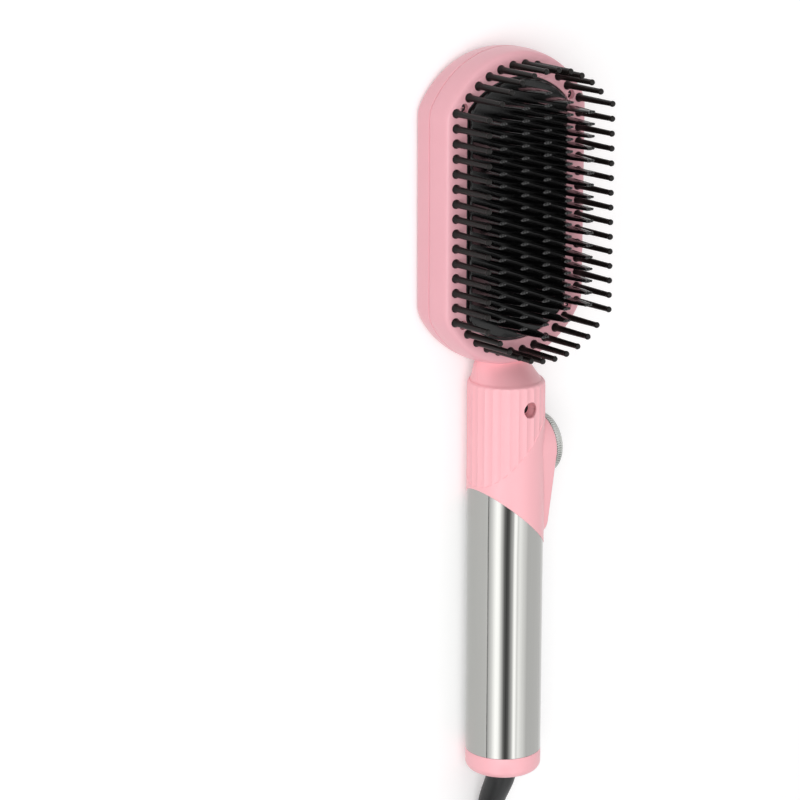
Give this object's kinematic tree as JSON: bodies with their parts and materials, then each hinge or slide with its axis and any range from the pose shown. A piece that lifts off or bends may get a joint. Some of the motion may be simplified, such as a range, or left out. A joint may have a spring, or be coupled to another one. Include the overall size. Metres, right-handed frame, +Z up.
{
  "type": "hair straightening brush",
  "caption": "Heated hair straightening brush with a comb plate, a ring of guard bristles, a temperature dial, a power button and a steel handle with a mains cord.",
  "frame": {"origin": "on the resting surface, under the middle of the brush's length and on the handle's centre line; the cord isn't counted", "axes": "+X along the handle towards the head, +Z up, the way the bristles point; the dial and the button face -Y"},
  "size_m": [0.4362, 0.1216, 0.0425],
  "materials": {
    "pink_shell": "satin moulded plastic",
    "pink_panel": "fine matt moulded plastic",
    "mauve_trim": "metallic lacquer",
    "black_coating": "cast aluminium with a smooth black ceramic coating",
    "black_plastic": "heat-resistant black plastic, satin",
    "black_gasket": "silicone",
    "element_foil": "bare",
    "insulation": "insulating film",
    "plain_steel": "zinc plated",
    "sensor_glass": "coated ceramic bead",
    "fuse_white": "ceramic",
    "lead_red": "silicone lead",
    "lead_brown": "insulated lead",
    "frame_white": "glass-filled plastic",
    "dial_silver": "knurled, with a polished rim",
    "window_black": "smoked, polished",
    "inner_grey": "plain",
    "display_black": "plain",
    "board_green": "solder mask",
    "parts_grey": "plain",
    "button_silver": "metallic lacquer",
    "polished_tube": "polished",
    "cord_black": "satin",
    "pin_metal": "nickel plated"
  },
  "bodies": {
    "root": {"back_shell": "pink_shell", "back_plate": "pink_panel", "trim_ring": "mauve_trim", "front_bezel": "pink_shell", "corner_screws": "plain_steel", "heated_plate": "black_coating", "comb_row_1": "black_coating", "comb_row_2": "black_coating", "comb_row_3": "black_coating", "comb_row_4": "black_coating", "comb_row_5": "black_coating", "plate_gasket": "black_gasket", "heating_elements": "element_foil", "insulating_sheet": "insulation", "pressure_plate": "element_foil", "pressure_screws": "plain_steel", "temperature_sensor": "sensor_glass", "thermal_fuse": "fuse_white", "heater_leads": "lead_red", "side_bristles_left": "black_plastic", "side_bristles_right": "black_plastic", "tip_bristles": "black_plastic", "neck_bristles": "black_plastic", "neck_front": "pink_shell", "neck_rear": "pink_shell", "neck_screw": "plain_steel", "spine": "frame_white", "spine_screws": "plain_steel", "dial_pod": "pink_shell", "dial_window": "window_black", "display_cup": "inner_grey", "display_module": "display_black", "dial_board": "board_green", "dial_sensor": "display_black", "tact_switch": "inner_grey", "control_board": "board_green", "board_components": "parts_grey", "handle_tube": "polished_tube", "end_cap": "pink_shell", "cord_clamp": "inner_grey", "mains_leads": "lead_brown", "strain_relief": "cord_black", "cord": "cord_black", "cord_coil": "cord_black", "plug_body": "cord_black", "plug_pins": "pin_metal"},
    "dial": {"dial_ring": "dial_silver"},
    "button": {"push_button": "button_silver"}
  },
  "joints": [
    {"name": "dial_turn", "type": "hinge", "parent": "root", "child": "dial", "pos_m": [-0.013, -0.018, 0.0157], "axis": [0, -1, 0], "continuous": true},
    {"name": "button_press", "type": "slide", "parent": "root", "child": "button", "axis": [0, 1, 0], "range_m": [0, 0.0006], "stiffness_N_per_m": 400, "springref_m": -0.002}
  ]
}
